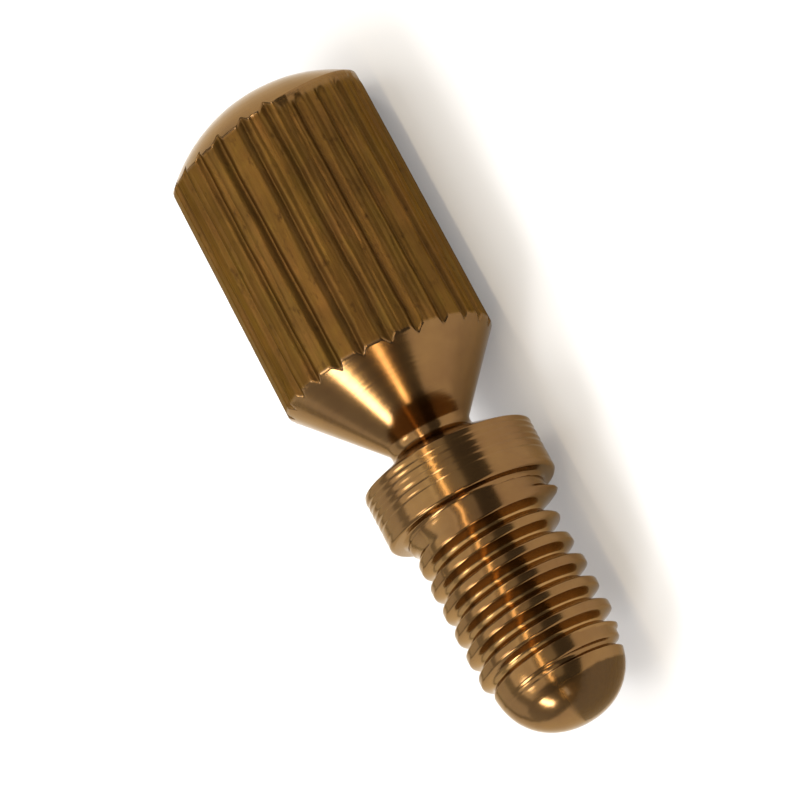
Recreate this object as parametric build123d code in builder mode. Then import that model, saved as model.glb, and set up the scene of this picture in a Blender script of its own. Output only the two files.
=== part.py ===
# Break-off screw for a nose ring: a knurled thumb head, a cone down to a thin neck that snaps off,
# and a collar with a threaded shank. It is one piece, turned from a bar.
# The screw lies on its knurled head on Z = 0, with its axis along X and the tip of its shank towards +X.
# All sizes are in millimetres and angles in degrees.
import os
from math import ceil, cos, radians, sin, sqrt

from build123d import *

# Knurled head, which keeps the bar's own surface between its grooves
head_radius = 3.0
head_length = 8.65
knurl_count = 23
knurl_depth = 0.2
knurl_width = 0.34

# Domed crown, turned round a centre of its own below the bar's, so that its edge runs out of true
dome_radius = 4.55
dome_offset_z = -0.5

# Break-off groove: a cone on its head side, the thin neck, and a shoulder behind the collar
cone_length = 2.15
neck_radius = 1.18
neck_length = 0.5
neck_fillet = 0.3
shoulder_length = 0.4

# Collar, which seats on the ring and is the head of what stays there
collar_radius = 2.45
collar_length = 1.55
collar_chamfer = 0.08

# Shank with a right-hand M4 x 0.7 thread and a round nose
shank_radius = 2.0
shank_length = 6.55
nose_step = 0.13
thread_pitch = 0.7
thread_depth = 0.38
crest_width = 0.2
root_width = 0.08
thread_start = 0.58
thread_start_angle = 171.0

# Centre of the neck, collar and shank, which lies below the bar's too
screw_offset_z = -0.16

# How far a cutter reaches past the surface that it cuts
cutter_reach = 0.1

# Stations along X, from the crown of the head to the tip, with the middle of the length at X = 0
overall_length = head_length + cone_length + neck_length + shoulder_length + collar_length + shank_length
crown_x = -overall_length / 2
cone_x = crown_x + head_length
neck_x = cone_x + cone_length
shoulder_x = neck_x + neck_length
collar_x = shoulder_x + shoulder_length
seat_x = collar_x + collar_length
tip_x = seat_x + shank_length

# Lathe centres: the bar's is set by the two lands beside its lowest groove, on which the screw lies
rest_height = sqrt(head_radius**2 - (knurl_width / 2) ** 2)
dome_axis = Axis(origin=(0, 0, rest_height + dome_offset_z), direction=(1, 0, 0))
screw_axis = Axis(origin=(0, 0, rest_height + screw_offset_z), direction=(1, 0, 0))

# Planes of the lathe profiles, with x along the screw and y as the radius
dome_plane = Plane(origin=dome_axis.position, x_dir=(1, 0, 0), z_dir=(0, -1, 0))
profile_plane = Plane(origin=screw_axis.position, x_dir=(1, 0, 0), z_dir=(0, -1, 0))

os.makedirs("parts", exist_ok=True)

with BuildPart() as screw:
    # Knurled bar, from the crown to the middle of the neck
    part_line_x = neck_x + neck_length / 2
    groove_root = head_radius - knurl_depth
    groove_mouth = rest_height - groove_root
    with BuildSketch(Plane(origin=(crown_x, 0, rest_height), x_dir=(0, 1, 0), z_dir=(1, 0, 0))):
        Circle(head_radius)
        with PolarLocations(0, knurl_count, start_angle=-90):
            Polygon(
                (groove_root, 0),
                (groove_root + 2 * groove_mouth, -knurl_width),
                (groove_root + 2 * groove_mouth, knurl_width),
                align=None,
                mode=Mode.SUBTRACT,
            )
    extrude(amount=part_line_x - crown_x)

    # Domed crown, as a ball-ended envelope round the bar
    dome_centre_x = crown_x + dome_radius
    with BuildSketch(dome_plane):
        with BuildLine():
            Line((crown_x, 0), (part_line_x, 0))
            Line((part_line_x, 0), (part_line_x, dome_radius))
            Line((part_line_x, dome_radius), (dome_centre_x, dome_radius))
            RadiusArc((dome_centre_x, dome_radius), (crown_x, 0), -dome_radius)
        make_face()
    revolve(axis=dome_axis, mode=Mode.INTERSECT)

    # Collar, shank and round nose
    nose_radius = shank_radius - nose_step
    nose_x = tip_x - nose_radius
    with BuildSketch(profile_plane):
        with BuildLine():
            Polyline(
                (tip_x, 0),
                (part_line_x, 0),
                (part_line_x, collar_radius),
                (seat_x - collar_chamfer, collar_radius),
                (seat_x, collar_radius - collar_chamfer),
                (seat_x, shank_radius),
                (nose_x - nose_step, shank_radius),
                (nose_x, nose_radius),
            )
            RadiusArc((nose_x, nose_radius), (tip_x, 0), nose_radius)
        make_face()
    revolve(axis=screw_axis)

    # Break-off groove between head and collar
    groove_top = head_radius + 10 * cutter_reach
    groove_rise = groove_top - neck_radius
    cone_run = groove_rise * cone_length / (head_radius - neck_radius)
    shoulder_run = groove_rise * shoulder_length / (collar_radius - neck_radius)
    with BuildSketch(profile_plane):
        with BuildLine():
            FilletPolyline(
                (neck_x - cone_run, groove_top),
                (neck_x, neck_radius),
                (shoulder_x, neck_radius),
                (shoulder_x + shoulder_run, groove_top),
                radius=neck_fillet,
            )
            Line((shoulder_x + shoulder_run, groove_top), (neck_x - cone_run, groove_top))
        make_face()
    revolve(axis=screw_axis, mode=Mode.SUBTRACT)

    # Thread, cut one turn of groove after another until the nose is narrower than the thread's root
    thread_root = shank_radius - thread_depth
    flank_slope = (thread_pitch - crest_width - root_width) / 2 / thread_depth
    cutter_depth = thread_depth + cutter_reach
    cutter_half_width = root_width / 2 + flank_slope * cutter_depth
    thread_end_x = nose_x + sqrt(nose_radius**2 - thread_root**2) + thread_pitch / 2
    turns = ceil((thread_end_x - seat_x - thread_start) / thread_pitch)
    outwards = Vector(0, cos(radians(thread_start_angle)), sin(radians(thread_start_angle)))
    for turn in range(turns):
        turn_x = seat_x + thread_start + turn * thread_pitch
        helix = Helix(
            thread_pitch,
            thread_pitch,
            thread_root,
            center=screw_axis.position + Vector(turn_x, 0, 0),
            direction=screw_axis.direction,
            mode=Mode.PRIVATE,
        ).rotate(screw_axis, thread_start_angle - 90)
        with BuildSketch(Plane(origin=helix @ 0, x_dir=outwards, z_dir=helix % 0)):
            Polygon(
                (0, -root_width / 2),
                (cutter_depth, -cutter_half_width),
                (cutter_depth, cutter_half_width),
                (0, root_width / 2),
                align=None,
            )
        sweep(path=helix, is_frenet=True, mode=Mode.SUBTRACT)

screw.part.label = "screw"
export_step(screw.part, "parts/screw.step")
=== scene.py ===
from math import atan, cos, pi, radians, sin, tan

import bpy
import numpy as np
from mathutils import Matrix, Vector


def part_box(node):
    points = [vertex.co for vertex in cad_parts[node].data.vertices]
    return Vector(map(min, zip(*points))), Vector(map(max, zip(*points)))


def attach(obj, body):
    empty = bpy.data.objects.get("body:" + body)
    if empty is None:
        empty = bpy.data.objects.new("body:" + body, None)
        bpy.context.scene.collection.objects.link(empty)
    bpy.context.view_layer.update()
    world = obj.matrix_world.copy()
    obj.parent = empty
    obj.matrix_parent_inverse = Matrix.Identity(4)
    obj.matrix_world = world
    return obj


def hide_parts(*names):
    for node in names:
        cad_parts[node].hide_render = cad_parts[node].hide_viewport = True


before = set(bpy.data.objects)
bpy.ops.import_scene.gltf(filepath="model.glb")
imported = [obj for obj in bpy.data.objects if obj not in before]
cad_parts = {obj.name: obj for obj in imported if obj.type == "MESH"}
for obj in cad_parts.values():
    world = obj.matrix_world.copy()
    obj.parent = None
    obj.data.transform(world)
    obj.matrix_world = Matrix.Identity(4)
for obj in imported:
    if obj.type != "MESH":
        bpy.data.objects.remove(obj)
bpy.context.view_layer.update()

# A turned and knurled brass break-off screw for a nose ring. Shapes are worked out in millimetres, in the
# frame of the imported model: X runs along the screw to the tip of its shank, and Z is up. An angle round the
# screw is counted from the top towards +Y. The photograph looks down on the screw from the side of FACING.
MM = 0.001
SCREW_BOX = [np.array(corner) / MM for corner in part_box("screw")]
FACING = radians(47.38)

# Stations along the screw, back from its tip
TIP_X = SCREW_BOX[1][0]
SEAT_X = TIP_X - 6.55
COLLAR_X = SEAT_X - 1.55
SHOULDER_X = COLLAR_X - 0.54
NECK_X = SHOULDER_X - 0.32
CONE_X = NECK_X - 2.15
CROWN_X = SCREW_BOX[0][0]

# Radii, and the height of the screw's axis over what it lies on
HEAD_R = (SCREW_BOX[1][1] - SCREW_BOX[0][1]) / 2
DOME_R = 4.55
NECK_R = 1.18
NECK_FILLET = 0.3
COLLAR_R = 2.475
SHANK_R = 2.03
NOSE_R = 1.87
NOSE_POWER = 2.2
AXIS_Z = SCREW_BOX[1][2] - HEAD_R


def toward(facing_angle, distance):
    """Offset (y, z) of a distance at an angle counted from the side that the photograph looks at."""
    angle = radians(facing_angle) + FACING
    return np.array([distance * sin(angle), distance * cos(angle)])


# The lathe centres of the dome, neck and shank miss the bar's own centre a little, as the photograph shows
BAR_CENTRE = np.zeros(2)
DOME_CENTRE = toward(90, 0.37) + toward(0, -0.33)
NECK_CENTRE = toward(90, 0.10)
SHANK_CENTRE = toward(90, 0.22)
ROOT_CENTRE = toward(90, 0.165)

# How many vertices go round the head. From partway down the cone to the tip there are half as many.
HEAD_COLUMNS = 460


class Skin:
    """The vertices and faces of one closed mesh, in rings that are joined one to the next."""

    def __init__(self):
        self.points, self.faces, self.count = [], [], 0
        self.marks = {"turned": [], "grime": [], "groove_painted_light": []}

    def ring(self, x, radius, angles, centre, turned=1.0, grime=0.0, groove_painted_light=0.0):
        """Adds one vertex at each angle and returns their numbers. The marks say how freshly turned each one
        is, how darkly painted shade covers it and how strongly painted light brightens it."""
        y = centre[0] + radius * np.sin(angles)
        z = centre[1] + radius * np.cos(angles) + AXIS_Z
        self.points.append(np.stack([np.broadcast_to(x, y.shape), y, z], axis=-1))
        for mark, value in (("turned", turned), ("grime", grime), ("groove_painted_light", groove_painted_light)):
            self.marks[mark].append(np.broadcast_to(value, y.shape))
        numbers = np.arange(self.count, self.count + len(angles))
        self.count += len(angles)
        return numbers

    def point(self, x, centre):
        """Adds a single vertex on a lathe centre."""
        return self.ring(x, np.zeros(1), np.zeros(1), centre)[0]

    def bridge(self, a, b):
        """Joins two rings of the same count with quads."""
        self.faces += np.stack([a, np.roll(a, -1), np.roll(b, -1), b], axis=-1).tolist()

    def extend(self, last, x, radius, angles, centre, **marks):
        """Adds a ring, joins the last one to it and returns it."""
        ring = self.ring(x, radius, angles, centre, **marks)
        self.bridge(last, ring)
        return ring

    def halve(self, fine, coarse):
        """Joins a ring to one with half as many vertices."""
        for i, here in enumerate(coarse):
            after = coarse[(i + 1) % len(coarse)]
            first, second, third = (fine[(2 * i + k) % len(fine)] for k in range(3))
            self.faces += [[first, second, here], [second, after, here], [second, third, after]]

    def fan(self, hub, ring, flip=False):
        """Closes a ring onto one vertex."""
        for a, b in zip(ring, np.roll(ring, -1)):
            self.faces.append([hub, a, b] if flip else [hub, b, a])

    def stitch(self, a, b):
        """Joins two lines that run along the screw, whatever their counts. A line lists (vertex, x) pairs."""
        i = k = 0
        while i < len(a) - 1 or k < len(b) - 1:
            if k == len(b) - 1 or (i < len(a) - 1 and a[i + 1][1] <= b[k + 1][1]):
                self.faces.append([a[i][0], b[k][0], a[i + 1][0]])
                i += 1
            else:
                self.faces.append([a[i][0], b[k][0], b[k + 1][0]])
                k += 1

    def mesh(self, name):
        """The mesh in metres, with its marks as attributes of its vertices."""
        mesh = bpy.data.meshes.new(name)
        mesh.from_pydata((np.concatenate(self.points) * MM).tolist(), [], self.faces)
        mesh.shade_smooth()
        for mark, values in self.marks.items():
            mesh.attributes.new(mark, "FLOAT", "POINT").data.foreach_set("value", np.concatenate(values))
        return mesh


def smoothstep(low, high, value):
    """Smooth rise from 0 at low to 1 at high, or a fall where low is the larger."""
    t = np.clip((value - low) / (high - low), 0, 1)
    return t * t * (3 - 2 * t)


def bell(distance, width):
    """Round bump of 1 at no distance, which fades over a width on both sides."""
    return np.exp(-((distance / width) ** 2))


def wrap(angle):
    """The same angle, between minus and plus half a turn."""
    return (angle + pi) % (2 * pi) - pi


def around(angles, radius):
    """Offsets (y, z) at each angle round a circle, or round an outline with a radius for each angle."""
    return np.stack([radius * np.sin(angles), radius * np.cos(angles)], axis=-1)


def ray_to_circle(angles, start, centre, radius):
    """Distance from a start point, at each angle, out to a circle in the same cross-section."""
    away = centre - start
    along = away[0] * np.sin(angles) + away[1] * np.cos(angles)
    across = away[0] * np.cos(angles) - away[1] * np.sin(angles)
    return along + np.sqrt(np.maximum(radius**2 - across**2, 0))


def wave(value, seed, scale):
    """Smooth seeded wandering between about -1 and 1, as a sum of sines of one variable."""
    source = np.random.default_rng(seed)
    usual_peak = 1.6
    total = 0
    for octave in range(1, 5):
        phase, stretch = source.uniform(0, 2 * pi), source.uniform(0.7, 1.3)
        total = total + np.sin(value / scale * octave * stretch * 2 * pi + phase) / octave
    return total / usual_peak


# Knurled bar: how far its lands lie inside HEAD_R at the crown, and how much their radius grows to the cone
BAR_INSET = 0.03
BAR_TAPER = 0.045

# Straight knurl, with flat lands between its grooves. Each groove leans by up to KNURL_LEAN degrees over the
# bar's length, wanders a little, and is deeper near the dome by the share DOME_END_DEEPER.
KNURL_COUNT = 23
KNURL_FIRST = FACING + radians(7.4)
KNURL_DEPTH = 0.14
KNURL_HALF = 0.18
KNURL_LEAN = 2.2
KNURL_WANDER = 0.010
DOME_END_DEEPER = 0.6

# Low ridges that the knurling raised beside each groove, gone where the bar is cut RIDGE_GONE deep or more
RIDGE_LEFT, RIDGE_RIGHT = 0.006, 0.008
RIDGE_OFFSET = 0.025
RIDGE_HALF = 0.03
RIDGE_GONE = 0.05

# Shallow extra lines that the knurling wheel left on the lands: degrees from the facing side, depth, and the
# stretch of the bar that each runs over, from 0 at the dome to 1 at the cone
TRACKS = [(-66, 0.04, 0.0, 1.0), (-48, 0.035, 0.2, 1.0), (-33, 0.04, 0.0, 0.8), (-23.3, 0.03, 0.15, 0.9),
          (-2, 0.03, 0.0, 0.7), (14.5, 0.07, 0.1, 1.0), (16.5, 0.06, 0.0, 0.8), (29.5, 0.05, 0.0, 1.0),
          (33, 0.04, 0.3, 1.0), (45, 0.05, 0.0, 0.6), (49.5, 0.11, 0.0, 0.35), (62, 0.05, 0.0, 1.0)]
TRACK_HALF = 0.06
TRACK_WANDER = 0.02

# Plain band beside the dome, whole up to its first distance from the dome's edge and gone at its second
PLAIN_BAND = (0.16, 0.36)
PLAIN_BAND_DEPTH = 0.02
PLAIN_BAND_TURNED = 0.7


def bar_surface(x, angles):
    """Radius of the knurled bar, and how deep below its lands it lies there."""
    along = (x - CROWN_X) / (CONE_X - CROWN_X)
    radius = HEAD_R - BAR_INSET + BAR_TAPER * along
    cut = np.zeros_like(radius + angles)
    ridge = np.zeros_like(cut)
    for groove in range(KNURL_COUNT):
        source = np.random.default_rng(groove + 7)
        lean, size, skew = source.uniform(-0.4, 1.0), source.uniform(0.88, 1.12), source.uniform(-0.25, 0.25)
        centre = KNURL_FIRST + groove * 2 * pi / KNURL_COUNT + radians(KNURL_LEAN * lean) * (along - 0.5)
        distance = HEAD_R * wrap(angles - centre) + KNURL_WANDER * wave(x, groove, 3.0)
        half = KNURL_HALF * size * (1 + 0.12 * wave(x, groove + 50, 4.0))
        left, right = half * (1 + skew), half * (1 - skew)
        side = np.where(distance < 0, 1 + distance / left, 1 - distance / right)
        deep = KNURL_DEPTH * size * (1 + DOME_END_DEEPER * smoothstep(0.22, 0.1, along))
        cut = np.maximum(cut, deep * smoothstep(-0.1, 1.1, side))
        ridge += RIDGE_LEFT * bell(distance + left + RIDGE_OFFSET, RIDGE_HALF)
        ridge += RIDGE_RIGHT * bell(distance - right - RIDGE_OFFSET, RIDGE_HALF)
    for number, (facing_angle, depth, start, end) in enumerate(TRACKS):
        centre = FACING + radians(facing_angle)
        distance = HEAD_R * wrap(angles - centre) + TRACK_WANDER * wave(x, number + 90, 5.0)
        fade = smoothstep(start - 0.05, start + 0.1, along) * smoothstep(end + 0.05, end - 0.1, along)
        fade = fade * (0.75 + 0.25 * wave(x, number + 120, 2.0))
        line = depth * fade * np.clip(1.4 * (1 - np.abs(distance) / TRACK_HALF), 0, 1)
        cut = np.maximum(cut, line)
    return radius - cut + ridge * np.clip(1 - cut / RIDGE_GONE, 0, 1), cut


def plain_side(angles):
    """Share from 0 to 1 by which the dome's cut cleared the knurl's ends away, on one side of the head."""
    facing = wrap(angles - FACING)
    return smoothstep(radians(10), radians(14), facing) * smoothstep(radians(150), radians(110), facing)


def bar_beside_dome(x, angles, rim_x):
    """Radius, depth of cut and turned share of the bar, with a plain band along part of the dome's edge."""
    radius, cut = bar_surface(x, angles)
    band = plain_side(angles) * smoothstep(PLAIN_BAND[1], PLAIN_BAND[0], x - rim_x)
    return radius + band * (cut - PLAIN_BAND_DEPTH), cut * (1 - band), PLAIN_BAND_TURNED * band


def dome_x(section_r):
    """Station at which the dome has this radius, about its own centre."""
    return CROWN_X + DOME_R - np.sqrt(DOME_R**2 - section_r**2)


def dome_section(x):
    """Radius of the dome at a station, about its own centre."""
    return np.sqrt(DOME_R**2 - (CROWN_X + DOME_R - x) ** 2)


def cone_x(radius):
    """Station at which the cone has this radius, about the neck's centre."""
    return NECK_X - (radius - NECK_R) * (NECK_X - CONE_X) / (HEAD_R - NECK_R)


def cone_radius(x):
    """Radius of the cone behind the neck, about the neck's centre."""
    return NECK_R + (NECK_X - x) * (HEAD_R - NECK_R) / (NECK_X - CONE_X)


def build_head(skin, angles):
    """Domed crown and knurled bar. Returns the ring where the cone begins, and its stations."""
    cap_r = 2.0
    cap_rows, rim_rows, body_rows = 12, 8, 50
    rim_power = 1.5
    row_crowding = 0.36
    hub = skin.point(CROWN_X, DOME_CENTRE)
    rings = []
    for row in range(1, cap_rows + 1):
        t = row / cap_rows
        section_r = cap_r * t
        centre = DOME_CENTRE * (1 - t)
        radius = ray_to_circle(angles, centre, DOME_CENTRE, section_r)
        rings.append(skin.ring(dome_x(section_r), radius, angles, centre))
    skin.fan(hub, rings[0])

    # The dome's edge is where it meets the bar, whose radius hardly changes from a first guess of the station
    rim_guess = np.full_like(angles, CROWN_X + 1.1)
    rim_r = bar_beside_dome(rim_guess, angles, rim_guess)[0]
    rim_x = dome_x(np.linalg.norm(around(angles, rim_r) - DOME_CENTRE, axis=-1))
    for row in range(1, rim_rows + 1):
        t = 1 - (1 - row / rim_rows) ** rim_power
        x = (1 - t) * dome_x(cap_r) + t * rim_x
        radius = ray_to_circle(angles, BAR_CENTRE, DOME_CENTRE, dome_section(x))
        rings.append(skin.ring(x, radius, angles, BAR_CENTRE))

    # Rows along the bar lie closer together near both ends
    edge_r = bar_surface(np.full_like(angles, CONE_X), angles)[0]
    edge_x = cone_x(np.linalg.norm(around(angles, edge_r) - NECK_CENTRE, axis=-1))
    for row in range(1, body_rows + 1):
        t = row / body_rows
        t = t - row_crowding * sin(2 * pi * t) / (2 * pi)
        x = rim_x + (edge_x - rim_x) * t
        radius, cut, band = bar_beside_dome(x, angles, rim_x)
        turned = 1.0 if row == body_rows else band
        # Painted shade: the knurl's grooves are darkened by their depth
        grime = np.clip(cut / KNURL_DEPTH, 0, 1)
        rings.append(skin.ring(x, radius, angles, BAR_CENTRE, turned=turned, grime=grime))
    for a, b in zip(rings, rings[1:]):
        skin.bridge(a, b)
    return rings[-1], edge_x


def fillet_profile(corner_x, side, slope, rows):
    """Points (x, radius) of the round between the neck and a flank. Side is -1 for the flank towards the head
    and 1 for the one towards the tip."""
    turn = atan(slope)
    reach = NECK_FILLET * tan(turn / 2)
    start_x = corner_x - side * reach
    for row in range(rows + 1):
        a = turn * row / rows
        yield start_x + side * NECK_FILLET * sin(a), NECK_R + NECK_FILLET * (1 - cos(a))


def build_cone_and_neck(skin, edge_ring, edge_x, angles, fine_angles):
    """Cone, neck and shoulder. Returns the ring at the collar's rim, and its stations."""
    cone_slope = (HEAD_R - NECK_R) / (NECK_X - CONE_X)
    shoulder_slope = (COLLAR_R - NECK_R) / (COLLAR_X - SHOULDER_X)
    cone_round = list(fillet_profile(NECK_X, -1, cone_slope, 6))[::-1]
    shoulder_round = list(fillet_profile(SHOULDER_X, 1, shoulder_slope, 9))
    cone_end_x = cone_round[0][0]
    fine_rows, coarse_rows, shoulder_rows = 5, 14, 7
    fine_share, fine_power = 0.25, 1.4
    rim_inset = 0.02

    last = edge_ring
    for row in range(1, fine_rows + 1):
        t = fine_share * (row / fine_rows) ** fine_power
        x = edge_x + (cone_end_x - edge_x) * t
        centre = NECK_CENTRE * t
        radius = ray_to_circle(fine_angles, centre, NECK_CENTRE, cone_radius(x))
        last = skin.extend(last, x, radius, fine_angles, centre)
    start_x = edge_x[::2]
    for row in range(1, coarse_rows + 1):
        t = fine_share + (1 - fine_share) * row / coarse_rows
        x = start_x + (cone_end_x - start_x) * t
        centre = NECK_CENTRE * t
        ring = skin.ring(x, ray_to_circle(angles, centre, NECK_CENTRE, cone_radius(x)), angles, centre)
        if row == 1:
            skin.halve(last, ring)
        else:
            skin.bridge(last, ring)
        last = ring
    for x, radius in cone_round[1:] + shoulder_round:
        last = skin.extend(last, x, radius, angles, NECK_CENTRE)

    shoulder_start_x = shoulder_round[-1][0]
    rim_reach = np.linalg.norm(SHANK_CENTRE + around(angles, COLLAR_R - rim_inset) - NECK_CENTRE, axis=-1)
    rim_x = SHOULDER_X + (rim_reach - NECK_R) / shoulder_slope
    for row in range(1, shoulder_rows + 1):
        t = row / shoulder_rows
        x = shoulder_start_x + (rim_x - shoulder_start_x) * t
        centre = NECK_CENTRE * (1 - t) + SHANK_CENTRE * t
        flank_r = NECK_R + (x - SHOULDER_X) * shoulder_slope
        radius = ray_to_circle(angles, centre, NECK_CENTRE, flank_r)
        last = skin.extend(last, x, radius, angles, centre)
    return last, rim_x


# Feed marks that the tool left on the collar, from its rim down to a deeper line at FEED_END, and a faint
# line below them
FEED = 0.19
FEED_DEPTH = 0.011
FEED_START = 0.05
FEED_FADE = 0.15
FEED_END = 0.95
LINE_DEPTH = 0.03
FAINT_LINE = 1.3
FAINT_LINE_DEPTH = 0.008
LINE_HALF = 0.03


def collar_radius(below_rim):
    """Radius of the collar at a distance below its rim."""
    scallop = FEED_DEPTH * (1 - np.cos(2 * pi * (below_rim - FEED_START) / FEED))
    fade = smoothstep(FEED_END, FEED_END - FEED_FADE, below_rim)
    scallop = scallop * (1 + 0.5 * wave(below_rim, 5, 0.6)) * fade
    line = LINE_DEPTH * bell(below_rim - FEED_END, LINE_HALF)
    faint_line = FAINT_LINE_DEPTH * bell(below_rim - FAINT_LINE, LINE_HALF)
    return COLLAR_R - scallop - line - faint_line


def build_collar(skin, rim_ring, rim_x, angles):
    """Collar and its seat. Returns the ring at the root of the shank."""
    rows, row_power, first_row = 48, 1.12, 0.6
    chamfer = 0.09
    last = rim_ring
    for row in range(rows + 1):
        t = ((row + first_row) / (rows + first_row)) ** row_power
        x = rim_x + (SEAT_X - chamfer - rim_x) * t
        last = skin.extend(last, x, collar_radius(x - COLLAR_X), angles, SHANK_CENTRE)
    seat = [(SEAT_X - 0.05, COLLAR_R - 0.025), (SEAT_X - 0.015, COLLAR_R - 0.06), (SEAT_X, COLLAR_R - 0.11),
            (SEAT_X, SHANK_R + 0.12), (SEAT_X + 0.02, SHANK_R + 0.07), (SEAT_X + 0.07, SHANK_R + 0.03)]
    for x, radius in seat:
        last = skin.extend(last, x, radius, angles, SHANK_CENTRE)
    return last


# Right-hand M4 x 0.7 thread. CREST_LEFT is how far past the seat its first crest lies on the photograph's
# left, and THREAD_RUN_IN is the stretch past the seat over which its groove gets deep.
PITCH = 0.7
CREST_LEFT = 0.155
CREST_HALF = 0.1
CREST_WANDER = 0.012
FLANK = 2.2
ROOT_R = 1.665
EDGE_ROUND = 0.07
THREAD_RUN_IN = (0.3, 0.72)

# Faults on the thread's right side: a fin, thin crests, and crests left low. Each has its size, its distance
# past the seat, and how far it fades along the screw. RIGHT_FADE and FIN_SPREAD are angles round the screw.
FIN_HEIGHT, FIN_PLACE, FIN_FADE = 0.24, 0.5, 0.07
THIN_SHARE, THIN_PLACE, THIN_FADE = 0.8, 1.2, 0.3
LOW_DEPTH, LOW_PLACE, LOW_FADE = 0.08, 1.6, 0.5
RIGHT_FADE = 0.6
FIN_SPREAD = 0.45


def thread_phase(x, angles):
    """How many pitches past the thread's first crest a place lies. It is a whole number on every crest."""
    turn = (angles - FACING + pi / 2) / (2 * pi)
    return (x - SEAT_X - CREST_LEFT) / PITCH + turn


def thread_radius(x, angles):
    """Radius of the shank with its thread, about the shank's centre."""
    past_seat = x - SEAT_X
    from_right = wrap(angles - FACING - pi / 2)
    right = bell(from_right, RIGHT_FADE)
    thin = right * bell(past_seat - THIN_PLACE, THIN_FADE)
    low = LOW_DEPTH * right * bell(past_seat - LOW_PLACE, LOW_FADE)
    fin = bell(from_right, FIN_SPREAD) * bell(past_seat - FIN_PLACE, FIN_FADE)

    # Straight flanks, with a softened corner at the root and then at the crest
    phase = thread_phase(x, angles)
    across = PITCH * (phase - np.round(phase))
    root_r = ray_to_circle(angles, SHANK_CENTRE, ROOT_CENTRE, ROOT_R)
    crest_r = SHANK_R + CREST_WANDER * wave(phase, 3, 2.3)
    flank_r = crest_r - FLANK * np.maximum(np.abs(across) - CREST_HALF * (1 - THIN_SHARE * thin), 0)
    rooted_r = root_r + EDGE_ROUND * np.logaddexp(0, (flank_r - root_r) / EDGE_ROUND)
    crested_r = crest_r - EDGE_ROUND * np.logaddexp(0, (crest_r - rooted_r) / EDGE_ROUND)
    groove_r = crested_r + EDGE_ROUND * np.log(2)

    groove_x = past_seat - across + PITCH / 2 * np.sign(across)
    run_in = smoothstep(THREAD_RUN_IN[0], THREAD_RUN_IN[1], groove_x)
    return crest_r + (groove_r - crest_r) * run_in + FIN_HEIGHT * fin - low


def nose_profile(reach):
    """Radius of the round nose, a little fuller than a ball, at a reach along it, or the other way round."""
    return NOSE_R * np.maximum(1 - (np.clip(reach, 0, NOSE_R) / NOSE_R) ** NOSE_POWER, 0) ** (1 / NOSE_POWER)


def nose_radius(x):
    """Radius of the nose at a station, and the nose's full radius behind it."""
    return nose_profile(x - (TIP_X - NOSE_R))


def shank_radius(x, angles):
    """Radius of the threaded shank, cut down to the nose by a slope of 45 degrees."""
    step = np.maximum(TIP_X - NOSE_R - x, 0)
    return np.minimum(thread_radius(x, angles), nose_radius(x) + step)


# Painted dark reflection on the nose, a patch of painted shade: the distance of its edge from the tip on the
# facing side, how much further back the edge lies for each radian to the right, and the degrees over which
# the patch fades in and out
PATCH_EDGE = 0.87
PATCH_SLANT = 0.17
PATCH_WANDER = 0.02
PATCH_FADE_IN = (-16, 2)
PATCH_FADE_OUT = (74, 100)
# How much the patch dulls the finish, and how far its painted shade darkens the colour
PATCH_DULL = 0.55
PATCH_PAINTED_SHADE = 2.6


def nose_painted_dark_reflection(x, angles):
    """Marks of the painted dark reflection on one side of the nose: a patch of painted shade with a duller,
    rougher finish, from a sharp edge to the tip.
    """
    facing = wrap(angles - FACING)
    edge_x = TIP_X - PATCH_EDGE - PATCH_SLANT * facing + PATCH_WANDER * wave(facing, 21, 0.8)
    fade_in = smoothstep(radians(PATCH_FADE_IN[0]), radians(PATCH_FADE_IN[1]), facing)
    fade_out = smoothstep(radians(PATCH_FADE_OUT[1]), radians(PATCH_FADE_OUT[0]), facing)
    patch = smoothstep(0, 0.06, x - edge_x) * fade_in * fade_out
    return {"turned": 1 - PATCH_DULL * patch, "grime": PATCH_PAINTED_SHADE * patch}


def build_shank(skin, root_ring, angles):
    """Threaded shank, whose vertices follow the thread, and the round nose."""
    rows_per_turn, nose_rows = 20, 10
    first_x, last_x = SEAT_X + 0.1, TIP_X - 0.75
    start_r = shank_radius(np.full_like(angles, first_x), angles)
    start = skin.extend(root_ring, first_x, start_r, angles, SHANK_CENTRE)
    end_r = shank_radius(np.full_like(angles, last_x), angles)
    end = skin.ring(last_x, end_r, angles, SHANK_CENTRE, **nose_painted_dark_reflection(last_x, angles))

    # One line of vertices for each angle, at the same places across every turn of the thread
    step = PITCH / rows_per_turn
    lines = []
    for column, angle in enumerate(angles):
        crest_x = SEAT_X + CREST_LEFT - PITCH * (angle - FACING + pi / 2) / (2 * pi)
        x = np.arange(first_x + (crest_x - first_x) % step, last_x, step)
        x = x[(x > first_x + step / 4) & (x < last_x - step / 4)]
        radius = shank_radius(x, angle)
        # Painted light: the thread's grooves are made paler by their depth, though not on the nose
        groove_painted_light = np.clip((SHANK_R - radius) / (SHANK_R - ROOT_R), 0, 1) * (x < TIP_X - NOSE_R)
        numbers = skin.ring(x, radius, np.full_like(x, angle), SHANK_CENTRE, groove_painted_light=groove_painted_light,
                            **nose_painted_dark_reflection(x, angle))
        lines.append([(start[column], first_x)] + list(zip(numbers, x)) + [(end[column], last_x)])
    for a, b in zip(lines, lines[1:] + lines[:1]):
        skin.stitch(a, b)

    last = end
    for row in range(1, nose_rows):
        section_r = nose_radius(last_x) * (1 - row / nose_rows)
        x = TIP_X - NOSE_R + nose_profile(section_r)
        last = skin.extend(last, x, section_r, angles, SHANK_CENTRE, **nose_painted_dark_reflection(x, angles))
    skin.fan(skin.point(TIP_X, SHANK_CENTRE), last, flip=True)


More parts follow.
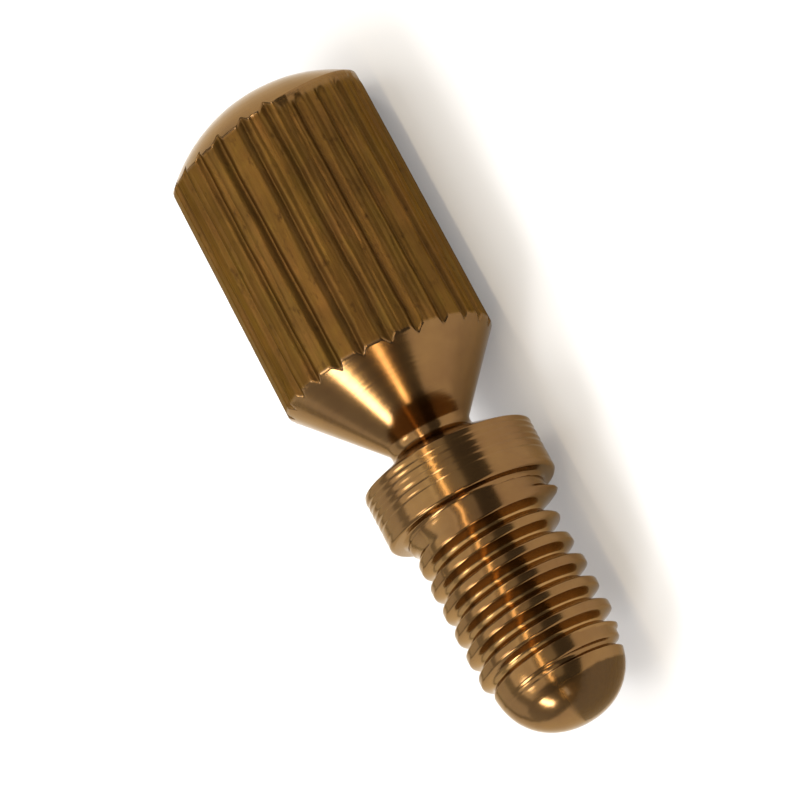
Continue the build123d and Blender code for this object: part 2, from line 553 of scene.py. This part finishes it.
def build_screw():
    """The whole screw, as one object with one closed mesh."""
    skin = Skin()
    fine_angles = np.arange(HEAD_COLUMNS) * 2 * pi / HEAD_COLUMNS
    angles = fine_angles[::2]
    edge_ring, edge_x = build_head(skin, fine_angles)
    rim_ring, rim_x = build_cone_and_neck(skin, edge_ring, edge_x, angles, fine_angles)
    root_ring = build_collar(skin, rim_ring, rim_x, angles)
    build_shank(skin, root_ring, angles)
    screw = bpy.data.objects.new("turned_screw", skin.mesh("turned_screw"))
    bpy.context.scene.collection.objects.link(screw)
    return screw


def new_material(name):
    """A new material made of nodes. Returns it and its shader, with helpers that add a node and a link."""
    material = bpy.data.materials.new(name)
    material.use_nodes = True
    tree = material.node_tree

    def node(kind, **settings):
        made = tree.nodes.new("ShaderNode" + kind)
        for setting, value in settings.items():
            setattr(made, setting, value)
        return made

    return material, tree.nodes["Principled BSDF"], node, tree.links.new


# Colours of the brass: two where it was turned, three on the knurl, then those of the grain and specks, of
# the painted shade in the knurl's grooves and the painted dark reflection on the nose, of the painted light
# in the thread's grooves, and of what the brass mirrors at a glancing angle
BRIGHT = (0.205, 0.105, 0.028, 1)
DULLED = (0.155, 0.072, 0.018, 1)
BROWN = (0.19, 0.087, 0.021, 1)
OLIVE = (0.165, 0.092, 0.016, 1)
TARNISHED = (0.12, 0.058, 0.014, 1)
GRAIN = (0.075, 0.037, 0.009, 1)
SPECK = (0.06, 0.028, 0.008, 1)
# Colour of the painted shade in the knurl's grooves and of the painted dark reflection on the nose
PAINTED_SHADE_COLOUR = (0.05, 0.026, 0.009, 1)
# Colour of the painted light in the thread's grooves
GROOVE_PAINTED_LIGHT_COLOUR = (0.3, 0.165, 0.05, 1)
EDGE_TINT = (0.72, 0.57, 0.37, 1)


def brass_material():
    """Dulled brass: rings on what was turned, streaks and painted shade in the grooves of the knurled head, a
    painted dark reflection on the nose, and painted light in the thread's grooves.
    """
    material, shader, node, link = new_material("dulled_brass")

    def fill(socket, value):
        if isinstance(value, (int, float, tuple)):
            socket.default_value = value
        else:
            link(value, socket)

    def times(value, factor):
        made = node("Math", operation="MULTIPLY")
        fill(made.inputs[0], value)
        fill(made.inputs[1], factor)
        return made.outputs[0]

    def levels(value, gain, offset):
        """The value times a gain plus an offset, kept between 0 and 1."""
        made = node("Math", operation="MULTIPLY_ADD", use_clamp=True)
        for socket, number in zip(made.inputs, (value, gain, offset)):
            fill(socket, number)
        return made.outputs[0]

    def mix(share, low, high):
        """A number between low and high."""
        made = node("MapRange")
        for name, value in (("Value", share), ("To Min", low), ("To Max", high)):
            fill(made.inputs[name], value)
        return made.outputs["Result"]

    def mix_colour(share, low, high):
        """A colour between low and high, on the Mix node's sockets for colours."""
        made = node("Mix", data_type="RGBA")
        for number, value in ((0, share), (6, low), (7, high)):
            fill(made.inputs[number], value)
        return made.outputs[2]

    def noise(stretch, scale, detail, roughness):
        """Noise of a scale per metre, drawn out along the axes whose stretch is under 1."""
        stretched = node("VectorMath", operation="MULTIPLY")
        fill(stretched.inputs[0], place)
        fill(stretched.inputs[1], stretch)
        made = node("TexNoise")
        for name, value in (("Vector", stretched.outputs[0]), ("Scale", scale), ("Detail", detail),
                            ("Roughness", roughness)):
            fill(made.inputs[name], value)
        return made.outputs[0]

    def attribute(name):
        return node("Attribute", attribute_name=name).outputs["Fac"]

    place = node("TexCoord").outputs["Object"]
    turned, grime, groove_painted_light = attribute("turned"), attribute("grime"), attribute("groove_painted_light")

    # Rings round the screw, streaks along it, and blotches, specks and hues of tarnish
    rings = noise((1, 0.004, 0.004), 9000, 3, 0.65)
    streaks = noise((0.05, 1, 1), 9000, 4, 0.6)
    blotches = noise((1, 1, 1), 900, 4, 0.6)
    specks = noise((0.5, 1, 1), 5000, 3, 0.6)
    hues = noise((0.5, 1, 1), 1500, 3, 0.6)
    marks = mix(turned, streaks, rings)
    relief = mix(turned, streaks, times(rings, 0.3))

    tarnish = levels(blotches, 2.2, -0.6)
    fresh = mix_colour(tarnish, BRIGHT, DULLED)
    worn = mix_colour(tarnish, mix_colour(levels(hues, 3.0, -1.0), BROWN, OLIVE), TARNISHED)
    grained = mix_colour(times(levels(streaks, 2.4, -0.95), 0.6), worn, GRAIN)
    spotted = mix_colour(levels(specks, 5.0, -2.9), grained, SPECK)
    body = mix_colour(turned, spotted, fresh)
    # Painted shade darkens the knurl's grooves by their depth and paints a dark reflection on the nose
    shaded = mix_colour(times(grime, 0.3), body, PAINTED_SHADE_COLOUR)
    # Painted light makes the thread's grooves paler by their depth
    link(mix_colour(groove_painted_light, shaded, GROOVE_PAINTED_LIGHT_COLOUR), shader.inputs["Base Color"])

    rough_turned = mix(marks, 0.13, 0.23)
    rough_knurled = mix(marks, 0.42, 0.62)
    link(mix(turned, rough_knurled, rough_turned), shader.inputs["Roughness"])
    link(mix(turned, 0.03, 0.4), shader.inputs["Coat Weight"])
    shader.inputs["Coat Roughness"].default_value = 0.15
    shader.inputs["Metallic"].default_value = 1
    shader.inputs["Specular Tint"].default_value = EDGE_TINT

    bump = node("Bump")
    bump.inputs["Distance"].default_value = 0.00002
    bump.inputs["Strength"].default_value = 0.7
    link(relief, bump.inputs["Height"])
    link(bump.outputs["Normal"], shader.inputs["Normal"])
    return material


FLOOR_HALF = 1.0
FLOOR_GLOW = 0.2


def make_floor():
    """Pale floor that looks white where no shadow falls on it."""
    material, shader, node, link = new_material("pale_floor")
    shader.inputs["Base Color"].default_value = (0.8, 0.8, 0.8, 1)
    shader.inputs["Roughness"].default_value = 0.9
    shader.inputs["Emission Color"].default_value = (1, 1, 1, 1)

    # Its glow is seen by the camera and in reflections, and is left out of scattered light
    path = node("LightPath")
    seen = path.outputs["Is Camera Ray"]
    for ray in ("Is Glossy Ray", "Is Transmission Ray"):
        either = node("Math", operation="MAXIMUM")
        link(seen, either.inputs[0])
        link(path.outputs[ray], either.inputs[1])
        seen = either.outputs[0]
    glow = node("Math", operation="MULTIPLY")
    glow.inputs[1].default_value = FLOOR_GLOW
    link(seen, glow.inputs[0])
    link(glow.outputs[0], shader.inputs["Emission Strength"])

    corners = [(FLOOR_HALF * x, FLOOR_HALF * y, 0) for x, y in ((-1, -1), (1, -1), (1, 1), (-1, 1))]
    mesh = bpy.data.meshes.new("floor")
    mesh.from_pydata(corners, [], [(0, 1, 2, 3)])
    mesh.materials.append(material)
    floor = bpy.data.objects.new("floor", mesh)
    bpy.context.scene.collection.objects.link(floor)


LAMP_DISTANCE = 0.35
WHITE = (1, 1, 1)
WARM = (1, 0.8, 0.5)


def add_lamp(name, from_top, along, width, length, radiance, colour=WHITE):
    """Flat lamp aimed at the screw, from_top degrees over from straight above it towards +Y. For each step
    out from the screw it lies along steps towards the tip. Its length runs along the screw, and a radiance of
    1 mirrors as bright as white paper."""
    angle = radians(from_top)
    direction = Vector((along, sin(angle), cos(angle))).normalized()
    lamp = bpy.data.lights.new(name, "AREA")
    lamp.shape = "RECTANGLE"
    lamp.size, lamp.size_y = length, width
    lamp.energy = radiance * pi * length * width
    lamp.color = colour
    side = Vector((1, 0, 0))
    side = (side - direction * side.dot(direction)).normalized()
    turn = Matrix((side, direction.cross(side), direction)).transposed().to_quaternion()
    holder = bpy.data.objects.new(name, lamp)
    holder.matrix_world = Matrix.LocRotScale(direction * LAMP_DISTANCE, turn, None)
    bpy.context.scene.collection.objects.link(holder)


def light_studio():
    """Broad soft boxes over the screw and on its far side, and small ones that draw its bright lines."""
    add_lamp("overhead", -9, -0.05, 0.32, 0.52, 1.2)
    add_lamp("fill", 33, -0.05, 0.28, 0.52, 0.55)
    add_lamp("key", -13, 0.25, 0.075, 0.12, 8.0)
    add_lamp("strip", 28, -0.1, 0.018, 0.60, 11.0, WARM)
    add_lamp("far_side", -66, -0.1, 0.20, 0.50, 0.55)
    add_lamp("tip_side", -27, 1.41, 0.06, 0.10, 22.0)
    add_lamp("tip_strip", 38, 2.3, 0.03, 0.08, 14.0, WARM)
    add_lamp("head_side", 25, -1.9, 0.22, 0.16, 1.1)
    add_lamp("rim", 25, -1.2, 0.05, 0.05, 16.0)


def make_room():
    """Dim white surroundings, brighter on the side away from the camera."""
    world = bpy.data.worlds.new("studio")
    world.use_nodes = True
    tree = world.node_tree
    axes = tree.nodes.new("ShaderNodeSeparateXYZ")
    tree.links.new(tree.nodes.new("ShaderNodeTexCoord").outputs["Generated"], axes.inputs[0])
    level = tree.nodes.new("ShaderNodeMapRange")
    for name, value in (("From Min", -0.8), ("From Max", 0.3), ("To Min", 0.6), ("To Max", 0.17)):
        level.inputs[name].default_value = value
    tree.links.new(axes.outputs["Y"], level.inputs["Value"])
    tree.links.new(level.outputs["Result"], tree.nodes["Background"].inputs["Strength"])
    tree.nodes["Background"].inputs["Color"].default_value = (1, 1, 1, 1)
    bpy.context.scene.world = world


# Camera of the photograph: a long lens, in pixels of the 800 x 800 picture. The shank's axis is seen at
# ANCHOR_PX at the station ANCHOR_X, where a millimetre is SCALE_PX long. The axis is turned in the picture
# and tilted to the camera by these angles in radians.
FOCAL_PX = 8000
PICTURE_PX = 800
SCALE_PX = 37.3
ANCHOR_PX = (457.9, 480.3)
ANCHOR_X = SEAT_X - 0.962
TURN_IN_PICTURE = 0.4875
TILT_TO_CAMERA = 0.2753
SENSOR_MM = 36


def make_camera():
    """Camera that sees the screw at the photograph's angle, size and place."""
    tip = Vector((sin(TURN_IN_PICTURE) * cos(TILT_TO_CAMERA), cos(TURN_IN_PICTURE) * cos(TILT_TO_CAMERA),
                  -sin(TILT_TO_CAMERA)))
    right = Vector((cos(TURN_IN_PICTURE), -sin(TURN_IN_PICTURE), 0))
    right = (right - tip * right.dot(tip)).normalized()
    facing = tip.cross(right)
    world_facing = Vector((0, sin(FACING), cos(FACING)))
    world_right = Vector((0, cos(FACING), -sin(FACING)))
    picture_axes = Matrix((tip, right, facing)).transposed()
    world_axes = Matrix((Vector((1, 0, 0)), world_right, world_facing)).transposed()
    picture_to_world = world_axes @ picture_axes.transposed()
    distance = FOCAL_PX / SCALE_PX
    anchor = Vector([(pixel - PICTURE_PX / 2) / SCALE_PX for pixel in ANCHOR_PX] + [distance])
    world_anchor = Vector((ANCHOR_X, SHANK_CENTRE[0], SHANK_CENTRE[1] + AXIS_Z))
    place = world_anchor - picture_to_world @ anchor

    # The picture counts down and away from the camera, where the camera's own axes point up and backwards
    flip = Matrix(((1, 0, 0), (0, -1, 0), (0, 0, -1)))
    camera = bpy.data.objects.new("camera", bpy.data.cameras.new("camera"))
    camera.data.sensor_width = SENSOR_MM
    camera.data.lens = SENSOR_MM * FOCAL_PX / PICTURE_PX
    camera.data.clip_start = 0.001
    camera.matrix_world = Matrix.LocRotScale(place * MM, (picture_to_world @ flip).to_quaternion(), None)
    bpy.context.scene.collection.objects.link(camera)
    bpy.context.scene.camera = camera


screw = build_screw()
screw.data.materials.append(brass_material())
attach(screw, "root")
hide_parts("screw")
make_floor()
light_studio()
make_room()
make_camera()
bpy.context.scene.view_settings.view_transform = "Standard"
